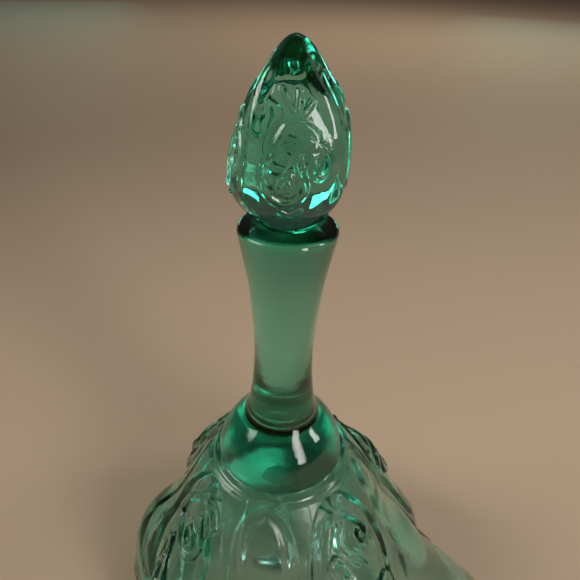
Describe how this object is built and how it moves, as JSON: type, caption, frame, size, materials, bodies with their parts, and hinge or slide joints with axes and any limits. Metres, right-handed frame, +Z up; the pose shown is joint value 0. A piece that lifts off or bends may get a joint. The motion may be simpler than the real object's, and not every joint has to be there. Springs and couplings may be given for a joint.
{
  "type": "hand bell",
  "caption": "Pressed-glass hand bell: a scrolled bud finial on a waisted handle, a domed collar, a lobed flaring skirt, and a clapper on a wire chain.",
  "frame": {"origin": "centre of the rim's outline, on the plane that the rim stands on; the flare leans, so the handle's axis is 10.5 mm from it towards -X", "axes": "+Z up along the handle; -Y is the front"},
  "size_m": [0.1206, 0.1207, 0.171],
  "materials": {
    "green_glass": "polished",
    "steel_wire": "satin",
    "steel_ball": "polished"
  },
  "bodies": {
    "glass": {"finial": "green_glass", "handle": "green_glass", "collar": "green_glass", "skirt": "green_glass", "hanger_cap": "steel_wire", "hanger_eye": "steel_wire"},
    "link_1": {"chain_link_1": "steel_wire"},
    "link_2": {"chain_link_2": "steel_wire"},
    "link_3": {"chain_link_3": "steel_wire"},
    "clapper": {"clapper_wire": "steel_wire", "clapper_ball": "steel_ball"}
  },
  "joints": [
    {"name": "link_1_swing", "type": "hinge", "parent": "glass", "child": "link_1", "pos_m": [-0.0105, 0, 0.0527], "axis": [1, 0, 0], "range_deg": [-23, 23]},
    {"name": "link_2_swing", "type": "hinge", "parent": "link_1", "child": "link_2", "pos_m": [-0.0105, 0, 0.0458], "axis": [0, 1, 0], "range_deg": [-29, 29]},
    {"name": "link_3_swing", "type": "hinge", "parent": "link_2", "child": "link_3", "pos_m": [-0.0105, 0, 0.0389], "axis": [1, 0, 0], "range_deg": [-17, 17]},
    {"name": "clapper_swing", "type": "hinge", "parent": "link_3", "child": "clapper", "pos_m": [-0.0105, 0, 0.032], "axis": [0, 1, 0], "range_deg": [-23, 23]}
  ]
}
